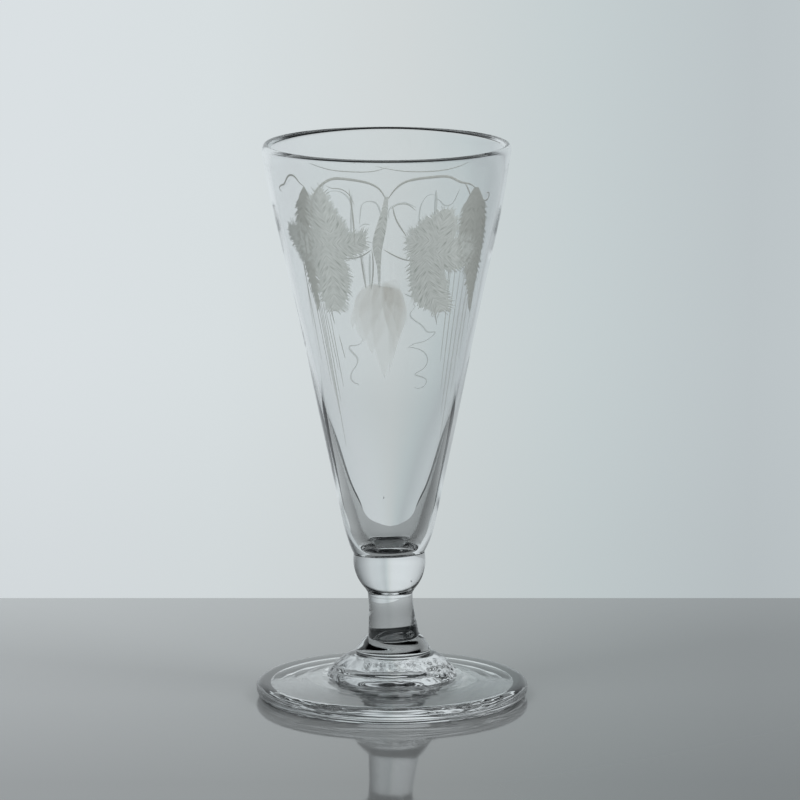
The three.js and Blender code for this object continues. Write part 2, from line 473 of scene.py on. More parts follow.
# Where its lumps are high: their share, the degrees from the front towards +X, and how far they spread.
# A little is left all round, and more at the border.
LUMPS = ((1, 48, 27), (0.5, -78, 20), (0.2, 180, 60))
LUMPS_LEAST = 0.04
LUMPS_BORDER = 0.105


def lumpy(place, sizes):
    """The collar's skirt is narrower to the front, where it runs out in a hollow apron, and has lumps.

    The lumps are noise that moves the surface out and up. They grow towards the border and are deepest to
    the front right.
    """
    reach = np.hypot(place[:, 0], place[:, 1])
    turn = np.degrees(np.arctan2(place[:, 0], -place[:, 1]))
    spread = ease(reach, CREASE[0], COLLAR_WIDE)
    amount = LUMPS_LEAST
    for share, middle, width in LUMPS:
        amount = amount + share * swell((turn - middle + 180) % 360, 180, width)
    noise = soft_noise(place, 4.6 * MM, 33) * 0.7 + soft_noise(place, 1.9 * MM, 35) * 0.3
    border = ease(reach, 11.5 * MM, COLLAR_WIDE) * LUMPS_BORDER
    bump = noise * (amount * spread + border) * sizes.collar_lumps
    apron = APRON * swell(turn, 0, 55) * swell(place[:, 2], SEAT + 1.4 * MM, 1.1 * MM) * spread
    lift = ease(place[:, 2], SEAT, SEAT + 1 * MM)
    push_out(place, reach, bump - apron)
    place[:, 1] *= 1 - spread * (1 - COLLAR_DEEP / COLLAR_WIDE)
    place[:, 2] += lift * bump


def on_level(spots, height):
    """Which spots lie on a level, to a thousandth of a millimetre."""
    return np.abs(spots[:, 2] - height) < 0.001 * MM


def under_collar(spots, sizes):
    """Which spots of the foot's top lie inside the collar's border."""
    angle = np.linspace(-math.pi, math.pi, 721)
    border = np.c_[COLLAR_WIDE * np.cos(angle), COLLAR_WIDE * np.sin(angle), np.full(len(angle), SEAT)]
    lumpy(border, sizes)
    turn = np.unwrap(np.arctan2(border[:, 1], border[:, 0]))
    edge = np.interp(np.arctan2(spots[:, 1], spots[:, 0]), turn, np.hypot(border[:, 0], border[:, 1]))
    return (np.hypot(spots[:, 0], spots[:, 1]) < edge) & on_level(spots, SEAT)


# Streaks round the edge of the foot are drawn out so many times. The rings that the foot board left on it
# lie a step apart, sway in and out, and are lower in front and behind, where this share is left.
STREAK_DRAW = 16
TOOL_STEP = 2.7 * MM
TOOL_SWAY = 1.2
TOOL_LEAST = 0.35


class AleGlassFoot(bpy.types.Operator):
    """A thick disc with a round edge, hollowed underneath so that it stands on a worn ring"""

    bl_idname = "ale_glass.foot"
    bl_label = "Foot"

    def execute(self, context):
        sizes = context.scene.ale_glass_sizes
        radius = FOOT_HIGH.x
        ring_outer = radius - sizes.ring_inset
        ring_inner = ring_outer - sizes.ring_width
        kick = sizes.kick_height
        # the flat in the hollow, the flat on top that the collar covers, and the shape of the edge
        hub = 7.6 * MM
        seat = 17 * MM
        edge_shares = [(0.9, 0.28), (1, 0.62), (0.7, 0.9), (0, 1)]
        edge = [(radius - sizes.foot_edge_width * (1 - across), up * sizes.foot_edge_height)
                for across, up in edge_shares]
        flank = [
            smooth_line([(hub, kick), (18 * MM, 1.1 * MM), (ring_inner, 0)], 40),
            straight((ring_inner, 0), (ring_outer, 0), 8)[1:],
            smooth_line([(ring_outer, 0), *edge, *above(0, (24, 4.4), (20, 4.7)), (seat, SEAT)], 130)[1:],
        ]

        def shaper(place):
            """Streaks drawn out round the edge move it in and out; tool rings lift the top a little."""
            reach = np.hypot(place[:, 0], place[:, 1])
            turn = np.arctan2(place[:, 1], place[:, 0])
            at_edge = ease(reach, radius - 4 * MM, radius - 1.5 * MM) * ease(place[:, 2], 0.5 * MM, 1.4 * MM)
            drawn_out = place / (STREAK_DRAW, STREAK_DRAW, 1)
            push_out(place, reach, soft_noise(drawn_out, 1.3 * MM, 21) * sizes.edge_streaks * at_edge)
            on_top = ease(place[:, 2], 4 * MM, 4.4 * MM) * ease(reach, seat, seat + 3 * MM)
            side = TOOL_LEAST + (1 - TOOL_LEAST) * np.cos(turn) ** 2
            wave = np.sin(2 * math.pi * reach / TOOL_STEP + TOOL_SWAY * np.sin(2 * turn + 0.6))
            place[:, 2] += sizes.tool_rings * wave * on_top * side

        add_gather("glass_foot", "foot", flank, context, shaper=shaper, end=24,
                   joint_test=lambda middles: under_collar(middles, sizes))
        return {"FINISHED"}


class AleGlassCollar(bpy.types.Operator):
    """The gather that holds the stem to the foot: a smooth shoulder, a crease and a lumpy skirt"""

    bl_idname = "ale_glass.collar"
    bl_label = "Collar"

    def execute(self, context):
        sizes = context.scene.ale_glass_sizes
        skirt = smooth_line([
            (COLLAR_WIDE, SEAT), (COLLAR_WIDE - 0.2 * MM, SEAT + 0.8 * MM),
            *above(SEAT, (13.9, 2.8), (11.6, 4.6), (9.6, 5.5)), CREASE], 90)
        shoulder = smooth_line([
            CREASE, *above(SEAT, (9.05, 6.1), (8.75, 6.8), (7.5, 8.1)),
            (sizes.stem_foot_radius, COLLAR_TOP)], 50)
        bubbles = [
            ((10.2, -8.2, 6.4), (0.35, 0.3, 0.28)), ((12.1, -6.0, 6.0), (0.45, 0.4, 0.35)),
            ((8.0, -9.4, 6.6), (0.28, 0.25, 0.25)), ((13.2, -3.2, 6.1), (0.3, 0.35, 0.3)),
            ((11.0, -4.4, 7.2), (0.22, 0.3, 0.2)), ((6.2, -10.0, 6.5), (0.2, 0.2, 0.16)),
        ]
        add_gather("glass_collar", "foot_collar", [skirt, shoulder[1:]], context,
                   tooled_lead_glass, lambda place: lumpy(place, sizes), start=30, bubbles=bubbles)
        return {"FINISHED"}


class AleGlassStem(bpy.types.Operator):
    """A short rod, drawn in below the knop and spreading to its foot"""

    bl_idname = "ale_glass.stem"
    bl_label = "Stem"

    def execute(self, context):
        sizes = context.scene.ale_glass_sizes
        rise = STEM_TOP - COLLAR_TOP
        flank = smooth_line([
            (sizes.stem_foot_radius, COLLAR_TOP), (sizes.stem_middle_radius, COLLAR_TOP + 0.5 * rise),
            (sizes.neck_radius - 0.04 * MM, COLLAR_TOP + 0.88 * rise), (sizes.neck_radius, STEM_TOP)], 60)
        add_gather("glass_stem", "stem", [flank], context)
        return {"FINISHED"}


# The groove over the knop lies between two edges, each this far from the joint. Below, a fillet takes the
# place of the ball's first points.
SEAM_STEP = 0.12 * MM
NECK_FILLET = 8


def waist(sizes):
    """Radius of the ball where it meets the bowl: its widest times the root of 1 - (cap / half height)^2."""
    return sizes.knop_radius * math.sqrt(1 - (sizes.knop_cap / sizes.knop_half_height) ** 2)


class AleGlassKnop(bpy.types.Operator):
    """A ball, a little taller than wide, on a short neck, with a small seed bubble low on its right side"""

    bl_idname = "ale_glass.knop"
    bl_label = "Knop"

    def execute(self, context):
        sizes = context.scene.ale_glass_sizes
        neck = sizes.neck_radius
        top = math.asin((sizes.knop_cap - SEAM_STEP) / sizes.knop_half_height)
        turn = np.linspace(-math.acos(neck / sizes.knop_radius), top, 90)
        middle = KNOP_TOP - sizes.knop_cap
        ball = np.c_[sizes.knop_radius * np.cos(turn), middle + sizes.knop_half_height * np.sin(turn)]
        seam = (waist(sizes) - sizes.seam_groove, KNOP_TOP)
        fillet = smooth_line([
            (neck, STEM_TOP), (neck + 0.05 * MM, STEM_TOP + 0.7 * MM),
            (neck + 0.5 * MM, STEM_TOP + 1.5 * MM), ball[NECK_FILLET]], 16)
        flank = [fillet[:-1], ball[NECK_FILLET:], [seam]]
        bubble = ((4.6, -6.6, 29.3), (0.2, 0.15, 0.18))
        add_gather("glass_knop", "knop", flank, context, bubbles=[bubble])
        return {"FINISHED"}


# The melted lip is a taller arch at its sides than in front and behind, by up to about this share of its own
# height. What it gains fades out below it, down to this depth.
LIP_ARCH = 1.2
LIP_BLEND = 6 * MM

# The waves inside the bowl start at one height and reach their full height at another.
WAVES_START = 62 * MM
WAVES_FULL = 90 * MM


def bowl_flank(context):
    """The outside of the bowl, from the groove at its joint with the knop up to the lip."""
    sizes = context.scene.ale_glass_sizes
    seam = waist(sizes)
    lip_radius = (BOWL_HIGH.x - BOWL_LOW.x) / 2
    rise = smooth_line([
        (seam, KNOP_TOP + SEAM_STEP),
        *above(KNOP_TOP, (9.39, 1.9), (10.64, 5.8), (12.22, 13), (17.24, 37), (22.59, 63), (27.87, 87)),
        (lip_radius, LIP_TOP - sizes.lip_thickness / 2)], 130)
    return np.concatenate([[(seam - sizes.seam_groove, KNOP_TOP)], rise])


def lip_arch(place, lip):
    """How far the points of the lip sink to make it a taller arch at its sides: none at its ridge.

    With turn as the angle from the front, the share is sin(turn)^2 * (1 - cos(turn) / 2), so that it is
    highest a little behind the sides, and a little more on the left than on the right.
    """
    depth = LIP_TOP - place[:, 2]
    turn = np.arctan2(place[:, 0], -place[:, 1])
    share = np.sin(turn) ** 2 * (1 - 0.5 * np.cos(turn)) * (0.85 - 0.15 * np.sin(turn))
    reach = np.where(depth < lip / 2, depth, lip / 2 * (1 - ease(depth, lip / 2, LIP_BLEND)))
    return LIP_ARCH * share * reach


class AleGlassBowl(bpy.types.Operator):
    """A cone with a round melted lip, whose wall thickens slowly down to a small solid base"""

    bl_idname = "ale_glass.bowl"
    bl_label = "Bowl"

    def execute(self, context):
        sizes = context.scene.ale_glass_sizes
        lip = sizes.lip_thickness
        flank = bowl_flank(context)
        lip_radius, lip_height = flank[-1]
        bead = arc((lip_radius - lip / 2, lip_height), lip / 2, 0, math.pi, 30)
        inside = smooth_line([bead[-1], *above(
            KNOP_TOP, (27.6, 93), (23.72, 73), (18.97, 51), (15.84, 37), (13.08, 27), (10.8, 19), (9.05, 13),
            (7.8, 9), (6.75, 6), (5.85, 4.2), (4.7, 2.6), (3, 1.65), (0, 1.4))], 200)

        def shaper(place):
            """Slow low waves run round the inside of the wall, and the lip is drawn to its arch."""
            reach = np.hypot(place[:, 0], place[:, 1])
            outer = np.interp(place[:, 2], flank[:, 1], flank[:, 0])
            inner_face = ease(outer - reach, 0.3 * MM, 0.8 * MM) * ease(place[:, 2], WAVES_START, WAVES_FULL)
            push_out(place, reach, soft_noise(place, 11 * MM, 51) * sizes.wall_waves * inner_face)
            place[:, 2] -= lip_arch(place, lip)

        bubbles = [((-1.9, -11.45, 50.8), (0.12, 0.12, 0.3)), ((-8.6, -10.6, 70.2), (0.08, 0.08, 0.2))]
        add_gather("glass_bowl", "bowl", [flank, bead[1:], inside[1:]], context,
                   shaper=shaper, end=0, bubbles=bubbles)
        return {"FINISHED"}


# How far the scar hangs below the hollow of the foot, and how rough its break is.
SCAR_DEPTH = 0.95 * MM
SCAR_ROUGH = 0.12 * MM


class AleGlassScar(bpy.types.Operator):
    """What the working rod left under the foot when it was snapped off"""

    bl_idname = "ale_glass.scar"
    bl_label = "Pontil scar"

    def execute(self, context):
        top = context.scene.ale_glass_sizes.kick_height
        low = top - SCAR_DEPTH
        flank = smooth_line([(2.6 * MM, low), *above(0, (4.7, 1.1), (6.2, 1.5)), (6 * MM, top)], 40)

        def shaper(place):
            """The break is rough: noise grows from nothing at the foot to its most at the lowest face."""
            exposed = (top - place[:, 2]) / (top - low)
            place[:, 2] += soft_noise(place, 2.5 * MM, 8) * SCAR_ROUGH * exposed

        add_gather("glass_scar", "pontil_scar", [flank], context, broken_lead_glass, shaper,
                   sides=96, start=20, joint_test=lambda middles: on_level(middles, top))
        return {"FINISHED"}


# The engraving. A place on the bowl is degrees from the front towards +X, and millimetres up from the
# table. 180 degrees is the back, so 200 is a little to -X of it. A lobe of a leaf or an ear has two borders
# from its root to its tip, a number of teeth, and their length in millimetres.

LEAF_LEFT = [
    # upper lobe
    ([(-37, 113.5), (-40, 117), (-40.7, 120.2), (-38.6, 123.6), (-32.8, 126.9)],
     [(-20.6, 114), (-21.3, 117.7), (-25.5, 120.3), (-29, 123), (-32.8, 126.9)], 9, 0.5),
    # left lobe
    ([(-31, 110.5), (-42, 109.8), (-53, 109.3), (-57.5, 112.2), (-61.3, 115.8)],
     [(-29, 116.2), (-38, 115.9), (-46, 116.2), (-55, 116.5), (-61.3, 115.8)], 9, 0.35),
    # right lobe
    ([(-32, 116.4), (-24, 116.3), (-17, 116), (-12.5, 116.1), (-10.8, 114.8)],
     [(-32, 110.6), (-24, 110.7), (-18, 111.1), (-13, 112.3), (-10.8, 114.8)], 5, 0.25),
    # lower lobe
    ([(-22, 113.5), (-23.6, 109), (-22.3, 105.4), (-24, 101.8), (-28.5, 98.2), (-33.5, 96.6)],
     [(-46, 112), (-45, 108.6), (-42.2, 105), (-41.7, 101), (-38.5, 98), (-33.5, 96.6)], 11, 0.4),
]

LEAF_RIGHT = [
    # upper fan
    ([(17, 112), (17.5, 117.8), (22.3, 119.6), (26.2, 120.6), (30, 121.9)],
     [(33, 112), (35.8, 115), (36.8, 117), (34, 119.6), (30, 121.9)], 8, 0.5),
    # left point
    ([(27, 118), (21, 119.4), (16, 118), (12.5, 116), (9.6, 114.9)],
     [(27, 109), (19, 109.6), (13.5, 110.2), (11.4, 112.6), (9.6, 114.9)], 5, 0.2),
    # right lobe
    ([(22, 114.5), (31, 114.2), (38, 114.3), (46, 113.8), (52.6, 112)],
     [(22, 108), (31, 107.3), (39, 106.9), (47, 107.6), (52.6, 112)], 9, 0.45),
    # lower lobe
    ([(12, 112), (12.3, 108), (13.3, 104), (16.5, 100.2), (25, 97.7), (34.5, 96.4)],
     [(31, 112), (31.6, 107), (34.6, 103.5), (36, 101), (39, 98.4), (34.5, 96.4)], 11, 0.45),
]

# The leaf on the far side is a set of long feathers, each ending in a tooth.
LEAF_BACK = [
    ([(188, 97), (196, 96.4), (204, 92), (207, 88.6), (206.2, 86.4)],
     [(184, 97), (189, 93), (196, 90), (202, 88.6), (206.2, 86.4)], 0, 0),
    ([(190, 97.2), (200, 95), (203.8, 90), (203, 86), (198, 83.2)],
     [(180, 96), (184, 91), (189, 88), (194, 85.6), (198, 83.2)], 0, 0),
    ([(192, 96.8), (199.5, 92), (199, 87), (196, 83), (192.6, 80)],
     [(176, 96), (178, 90), (183, 86), (188, 83), (192.6, 80)], 0, 0),
    ([(189.6, 96.9), (192, 90), (191.6, 84), (188, 78.6), (183.4, 73.9)],
     [(172, 95.5), (171, 90), (174.5, 84), (179, 79), (183.4, 73.9)], 0, 0),
    ([(181.5, 97.4), (183, 91), (180.5, 85.4), (179.4, 80), (180, 75.4)],
     [(173, 96), (170, 91), (171.4, 85), (175.5, 79.6), (180, 75.4)], 0, 0),
    ([(184, 97), (184, 91), (180, 86.4), (177, 83), (176, 79.6)],
     [(170.5, 94.6), (168.4, 90.4), (169.4, 86.4), (172.4, 83), (176, 79.6)], 0, 0),
    ([(184, 97.5), (181, 92), (176.4, 89), (174, 86.4), (172.6, 83.7)],
     [(171, 95.2), (168, 91), (168, 88.4), (169.6, 86), (172.6, 83.7)], 0, 0),
    ([(183, 97.4), (177, 97.8), (171, 94.4), (167.6, 91), (167.4, 87.9)],
     [(182, 93), (176, 92), (172.6, 91), (169.6, 90), (167.4, 87.9)], 0, 0),
]

EARS = [
    # left ear, its upper and lower half
    ([(-42.6, 126.9), (-47, 124), (-49.8, 119), (-51.4, 113), (-50.4, 106), (-47.1, 96.2)],
     [(-42.6, 126.9), (-39.9, 124.2), (-41.6, 119), (-45, 113), (-44.9, 106), (-47.1, 96.2)], 13, 0.4),
    # right ear, its wide left half and its right half
    ([(46, 126.4), (41.6, 123.2), (39.8, 119), (41, 113.6), (48, 106.6), (60.8, 95.4)],
     [(46, 126.4), (50, 122.6), (52, 117), (54, 111.6), (56.4, 104), (60.8, 95.4)], 13, 0.4),
    ([(46, 126.4), (48.6, 122), (50, 117), (52.6, 111), (56, 103.4), (60.9, 95.6)],
     [(48.8, 126.2), (54.6, 122.4), (58.2, 117), (59.6, 110.6), (59.6, 103), (60.9, 95.6)], 13, 0.4),
]

STALK = [
    ([(-1.0, 125.4), (-3, 121.4), (-6.3, 116.6), (-7.6, 112.7), (-5.8, 108.6), (-5.3, 104.4)],
     [(0.8, 125.4), (0.4, 121.2), (-0.9, 116.4), (-2.7, 112.5), (-3.6, 108.6), (-4.4, 104.4)], 0, 0),
]

# Lines cut on the near side: the path and its greatest width in millimetres.
FRONT_LINES = [
    # the two arches
    ([(-0.3, 124.6), (-3.3, 127.1), (-7.4, 128.4), (-13.7, 129.1), (-20, 129.4), (-26, 129.2),
      (-30.5, 128.1), (-36.9, 124.9), (-40.7, 119.4)], 0.65),
    ([(0.6, 124.8), (3.7, 127), (7.6, 128.6), (14.2, 129.5), (22.9, 129.8), (31.2, 129.4), (37.1, 128),
      (42.8, 127.3), (47.3, 125.9)], 0.65),
    # curls, twigs and the ribs of the ears
    ([(-60.8, 124.4), (-63, 125.1), (-60.4, 126), (-57.8, 126.4), (-55.4, 127.5), (-52.4, 128.8),
      (-48.6, 128.9), (-45.6, 127.6), (-42.8, 126.8)], 0.5),
    ([(53.6, 123), (55.9, 122.6), (58, 123.1), (58.3, 124.2), (55.5, 124.4)], 0.4),
    ([(-30, 127.6), (-27, 127), (-22, 126.9), (-18, 125.6), (-15.6, 123)], 0.25),
    ([(2.8, 123.1), (3.9, 120.5), (7.2, 117.5), (10.1, 115.5)], 0.4),
    ([(1.8, 122.4), (5, 123.4), (10, 123.4), (14, 121.8)], 0.25),
    ([(-8, 112.6), (-12, 111.2), (-18, 110.2), (-26.7, 110)], 0.35),
    ([(-2.2, 112.6), (5.1, 110.7), (10, 109.9), (17.5, 109.8)], 0.35),
    ([(-14.4, 112.3), (-13.6, 107.6), (-12.3, 102.5)], 0.3),
    ([(-8, 112.4), (-7.7, 108.5), (-9.4, 102.6)], 0.35),
    ([(-44.2, 124.4), (-46, 120), (-47.6, 114), (-48.6, 108)], 0.7),
    ([(-17.8, 126.9), (-16.8, 120), (-17, 113)], 0.4),
    ([(44.4, 125.6), (50, 119), (54.4, 112), (57, 104)], 0.45),
    ([(39.4, 127.8), (42, 126), (44.4, 124)], 0.4),
    # two soft swags just under the lip
    ([(-38, 132.6), (-28, 131.5), (-14, 131.2), (-2, 132), (1, 132.7)], 0.25),
    ([(-5, 132.7), (6, 131.6), (20, 131.2), (32, 131.6), (41, 132.7)], 0.25),
    # the tips under the lower lobes
    ([(27.8, 98.4), (30, 96.2), (32, 93.4)], 0.3),
    ([(-36.6, 98.4), (-36.4, 96), (-35.4, 93.4)], 0.3),
]

# Awns: long hair lines that fall from the ears, from the first place to the last.
AWNS = [
    ((-49, 112), (-46.8, 78)), ((-47, 108), (-44, 75.4)), ((-45.4, 106), (-42.6, 71)),
    ((-44, 104), (-41, 63)), ((-42.6, 102), (-39.6, 74)), ((-41, 97), (-37.6, 82)),
    ((-38.4, 97), (-35, 78)), ((-50.4, 120), (-56, 92)), ((-53, 112), (-53.6, 84)),
    ((-33.4, 91), (-30.6, 85)), ((36.6, 112), (38.6, 84)), ((40, 110), (42.6, 77)),
    ((44, 108.6), (46.6, 71)), ((48, 107.4), (50.8, 64)), ((52, 107), (54.6, 76)),
    ((55, 103), (58, 84)), ((58.6, 118), (62.6, 90)), ((34.2, 117), (37, 100)),
]
AWN_WIDTH = 0.22

# How many times as thick as a leaf the single strokes, the near lines and the far lines are.
STROKE_RELIEF = 2
NEAR_RELIEF = 1.6
FAR_RELIEF = 3

# Softer lines on the far side, seen through the bowl, in the same way.
BACK_LINES = [
    ([(213.8, 120.1), (208.4, 120.7), (204.1, 120.1), (201.2, 118.3), (200, 115)], 0.35),
    ([(196, 110.5), (194.8, 114), (192.3, 116.7), (187.6, 116.9), (184.5, 115.5), (183, 111)], 0.35),
    ([(179, 112), (177.2, 115.5), (172.5, 116.5), (168.2, 116), (164.9, 115.2)], 0.3),
    ([(158.9, 109.4), (162.4, 112), (162.6, 114.2), (160.9, 117.6), (158.9, 119), (154.8, 119.2)], 0.35),
    ([(154.3, 118), (151.3, 117.5), (147.4, 116.1), (144, 116.4), (141.3, 118.9), (140.1, 121.6)], 0.35),
    ([(154.3, 121), (153.6, 117), (153.3, 112)], 0.8),
    ([(199, 119.4), (200.6, 113), (201.8, 106)], 0.5),
    ([(196.6, 109.6), (194, 110.4), (189.8, 110.3)], 0.35),
    ([(196.2, 103.4), (195.4, 100), (194.6, 96)], 0.5),
    ([(191, 103.4), (191.4, 100), (192, 96)], 0.5),
    ([(186, 104.6), (185.8, 101), (185.8, 96)], 0.7),
    ([(198.8, 84.2), (201.5, 82.8), (210.9, 82.3), (209.3, 81), (205.1, 79.4), (205.5, 78), (208, 77),
      (211.2, 76), (212.9, 74.1), (210.9, 73.4), (205.9, 72.7)], 0.4),
    ([(169.1, 94.6), (164.1, 93.9)], 0.3),
    ([(163.4, 92.4), (162.1, 91.6), (164.3, 90.6), (161.6, 88.4), (153.9, 86.7), (149.9, 85.8),
      (143.8, 85.9), (151.8, 83.6), (162.4, 82.4), (166.6, 81.3)], 0.35),
    ([(164.8, 81.8), (155.8, 81.3), (149.2, 79.9), (148, 78.4), (152.9, 76.3), (157.7, 75.4), (151, 74.6),
      (146.8, 73.7), (149, 72.4), (153, 71.8), (157.6, 72)], 0.35),
]


def sheet(places, flank):
    """Places on the bowl as metres along the ring at their own height, and metres up."""
    places = np.asarray(places, float)
    height = places[:, 1] * MM
    return np.c_[np.radians(places[:, 0]) * np.interp(height, flank[:, 1], flank[:, 0]), height]


def on_bowl(spots, relief, flank):
    """Spots of the sheet as points in space, with some relief out from the outside of the bowl."""
    height = spots[..., 1]
    radius = np.interp(height, flank[:, 1], flank[:, 0])
    turn = spots[..., 0] / radius
    reach = radius + relief
    return np.stack([reach * np.sin(turn) + lean(height), -reach * np.cos(turn), height], -1)


def heading(path):
    """The direction of a path at each of its points, one unit long."""
    step = np.gradient(path, axis=0)
    return step / np.maximum(np.linalg.norm(step, axis=1)[:, None], 1e-9)


# The inner face of a cut clears the glass by this. A tooth stands out by a share of its written length, and
# reaches forwards by so much of that.
CUT_CLEAR = 0.006 * MM
TOOTH_OUT = 0.8
TOOTH_FORWARDS = 1.3


def cut(left, right, relief, flank, rows, columns, teeth=0, tooth=0.0):
    """One ground cut: a thin closed body over the outside of the bowl, between two borders.

    At share s along and t across, the spot is left(s) + (right(s) - left(s)) * t. The inner face clears
    the glass, and the outer face stands relief * (1 - |2t - 1|^4) above it. Teeth are a saw wave that
    pushes the borders out, and forwards to the tip. The rings of a closed tube run round both faces.
    """
    share = np.linspace(0, 1, rows)[:, None]
    across = np.linspace(0, 1, columns)
    gap = right - left
    width = np.linalg.norm(gap, axis=1)[:, None]
    side = gap / np.maximum(width, 1e-9)
    middle = (left + right) / 2
    push = (share * teeth) % 1 * tooth * hump(share, 0.15, 0.35, 0.93, 1)
    ring = np.r_[across, across[-2:0:-1]]
    facing = np.r_[np.ones(columns), np.zeros(columns - 2)]
    from_rib = 2 * ring - 1
    weight = from_rib ** 3
    spots = (left[:, None] + gap[:, None] * ring[None, :, None]
             + side[:, None] * (push * weight)[..., None]
             + heading(middle)[:, None] * (push * TOOTH_FORWARDS * np.abs(weight))[..., None])
    rise = CUT_CLEAR + relief * (1 - np.abs(from_rib) ** 4) * facing
    points = on_bowl(spots, np.broadcast_to(rise, spots.shape[:2]), flank).reshape(-1, 3)
    ends = on_bowl(middle[[0, -1]], np.full(2, CUT_CLEAR), flank)
    walk = np.r_[0, np.cumsum(np.linalg.norm(np.diff(middle, axis=0), axis=1))][:, None]
    uv = np.stack([np.broadcast_to(walk, spots.shape[:2]), width * from_rib / 2], -1).reshape(-1, 2)
    end_uv = np.array([[0, 0], [walk[-1, 0], 0]])
    return np.concatenate([points, ends]), tube_faces(rows, len(ring)), np.concatenate([uv, end_uv])


def outward(points, faces):
    """The faces, turned round if they enclose less than nothing."""
    corner = np.array([points[face[:3]] for face in faces])
    volume = np.einsum("ij,ij->i", corner[:, 0], np.cross(corner[:, 1], corner[:, 2])).sum()
    return faces if volume > 0 else [face[::-1] for face in faces]


def leaf_cuts(lobes, relief, flank):
    """The lobes of a leaf, each a little thicker than the last, so that no two faces fall together."""
    cuts = []
    for order, (left, right, teeth, tooth) in enumerate(lobes):
        rows = max(60, teeth * 10)
        borders = [smooth_line(sheet(border, flank), rows) for border in (left, right)]
        height = relief * (1 + 0.25 * order)
        cuts.append(cut(*borders, height, flank, rows, 15, teeth, tooth * MM * TOOTH_OUT))
    return cuts


def beside(middle, width):
    """The two borders of a line, half its width to each side of its middle."""
    ahead = heading(middle)
    off = np.c_[-ahead[:, 1], ahead[:, 0]] * width[:, None] / 2
    return middle + off, middle - off


def line_cut(path, width, relief, flank):
    """A line along its path, drawn in at both ends."""
    places = sheet(path, flank)
    reach = np.linalg.norm(np.diff(places, axis=0), axis=1).sum()
    rows = max(12, int(reach / (0.5 * MM)))
    middle = smooth_line(places, rows) if len(places) > 2 else straight(*places, rows)
    share = np.linspace(0, 1, rows)
    taper = 0.12 + 0.88 * np.sqrt(np.sin(math.pi * share).clip(0))
    return cut(*beside(middle, width * MM * taper), relief, flank, rows, 5)


def stroke_cut(start, end, width, relief, flank):
    """A short straight cut, widest near its start and drawn out to a point."""
    share = np.linspace(0, 1, 10)
    taper = 0.08 + 0.92 * ease(share, 0, 0.25) * (1 - share) ** 0.6
    return cut(*beside(straight(start, end, 10), width * MM * taper), relief, flank, 10, 5)


# Single strokes along the borders of a leaf or an ear: how many there are for a tooth, how unevenly they are
# spread, where between the rib and the border they start, how far they reach beyond it, and their width. The
# last two are in millimetres.
BARBS_PER_TOOTH = 5
BARB_UNEVEN = 0.012
BARB_START = (0.7, 0.95)
BARB_REACH = (0.5, 1.7)
BARB_WIDTH = (0.3, 0.5)


def barbs(lobes, relief, flank, seed):
    """Single strokes of the wheel along the borders of a leaf or an ear, leaving the rib for the tip."""
    random = np.random.default_rng(seed)
    cuts = []
    for left, right, teeth, _ in lobes:
        count = BARBS_PER_TOOTH * teeth
        borders = [smooth_line(sheet(border, flank), 200) for border in (left, right)]
        middle = (borders[0] + borders[1]) / 2
        ahead = heading(middle)
        for border in borders:
            shares = np.linspace(0.12, 0.96, count) + random.uniform(-BARB_UNEVEN, BARB_UNEVEN, count)
            for place in (shares.clip(0, 1) * 199).astype(int):
                out = border[place] - middle[place]
                beyond = random.uniform(*BARB_REACH) * MM
                away = out / max(np.linalg.norm(out), MM) * 0.8 + ahead[place]
                start = middle[place] + out * random.uniform(*BARB_START)
                end = border[place] + away * beyond
                cuts.append(stroke_cut(start, end, random.uniform(*BARB_WIDTH), relief, flank))
    return cuts


def cut_piece(name, cuts, context, finish=wheel_ground_glass):
    """One piece of engraving from several cuts."""
    points, faces, uv = [], [], []
    count = 0
    for cut_points, cut_faces, cut_uv in cuts:
        cut_faces = outward(cut_points - cut_points.mean(0), cut_faces)
        faces += [[corner + count for corner in face] for face in cut_faces]
        points.append(cut_points)
        uv.append(cut_uv)
        count += len(cut_points)
    finishes = [shared(finish, context)]
    new_piece(name, np.concatenate(points), faces, None, finishes, uv=np.concatenate(uv))


class AleGlassLeaves(bpy.types.Operator):
    """Three engraved hop leaves, two on the near side and a long one on the far side"""

    bl_idname = "ale_glass.leaves"
    bl_label = "Hop leaves"

    def execute(self, context):
        flank = bowl_flank(context)
        relief = context.scene.ale_glass_sizes.cut_relief
        cut_piece("cut_hop_leaf_left", leaf_cuts(LEAF_LEFT, relief, flank), context)
        cut_piece("cut_hop_leaf_right", leaf_cuts(LEAF_RIGHT, relief, flank), context)
        raised = relief * STROKE_RELIEF
        strokes = barbs(LEAF_LEFT, raised, flank, 61) + barbs(LEAF_RIGHT, raised, flank, 62)
        cut_piece("cut_leaf_strokes", strokes, context)
        far = leaf_cuts(LEAF_BACK, relief, flank)
        cut_piece("cut_hop_leaf_back", far, context, wheel_ground_glass_far)
        return {"FINISHED"}


class AleGlassBarley(bpy.types.Operator):
    """Two engraved ears of barley with their long awns, one at each side"""

    bl_idname = "ale_glass.barley"
    bl_label = "Barley ears"

    def execute(self, context):
        flank = bowl_flank(context)
        relief = context.scene.ale_glass_sizes.cut_relief
        cut_piece("cut_barley_ears", leaf_cuts(EARS, relief, flank), context, wheel_cut_lines)
        strokes = barbs(EARS, relief * STROKE_RELIEF, flank, 63)
        cut_piece("cut_ear_strokes", strokes, context, wheel_cut_lines)
        awns = [line_cut(path, AWN_WIDTH, relief, flank) for path in AWNS]
        cut_piece("cut_barley_awns", awns, context, wheel_cut_lines)
        return {"FINISHED"}


